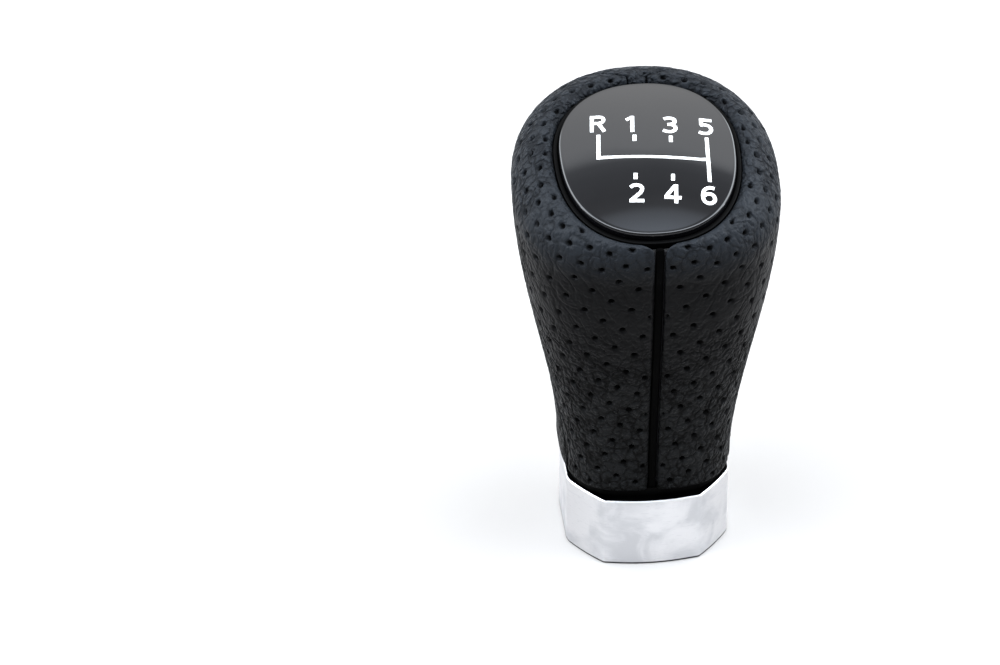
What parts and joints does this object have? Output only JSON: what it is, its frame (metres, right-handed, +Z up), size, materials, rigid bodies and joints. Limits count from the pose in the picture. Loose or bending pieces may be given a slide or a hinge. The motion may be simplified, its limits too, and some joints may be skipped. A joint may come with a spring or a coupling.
{
  "type": "gear shift knob",
  "caption": "Leather-covered gear shift knob with a tilted domed badge on top, a silver collar below and a blind socket for the lever.",
  "frame": {"origin": "on the lever axis, in the plane of the collar's lower rim", "axes": "+Z up the lever axis, -Y towards the front with the groove, +X to the right when facing the front's back, so the shift pattern reads with +X to its right"},
  "size_m": [0.0516, 0.0519, 0.0934],
  "materials": {
    "collar_metal": "satin, fine blasted and anodised",
    "black_plastic": "fine moulded grain",
    "screw_steel": "zinc plated",
    "leather": "perforated, pebbled grain, low sheen",
    "piping": "smooth, half gloss",
    "foam": "moulded foam skin",
    "nylon": "moulded, low sheen",
    "spring_steel": "drawn wire",
    "rubber": "dull",
    "carrier_plastic": "moulded, low sheen",
    "bezel_plastic": "half gloss",
    "cap_plastic": "high gloss, domed",
    "foam_tape": "closed-cell foam tape"
  },
  "bodies": {
    "root": {"collar": "collar_metal", "base_ring": "black_plastic", "collar_screws": "screw_steel", "leather_front_left": "leather", "leather_front_right": "leather", "leather_rear": "leather", "front_strip": "piping", "foam_body": "foam", "socket_insert": "nylon", "lock_spring": "spring_steel", "end_buffer": "rubber", "badge_carrier": "carrier_plastic", "badge_bezel": "bezel_plastic", "badge_cap": "cap_plastic", "badge_pad": "foam_tape"}
  },
  "joints": []
}
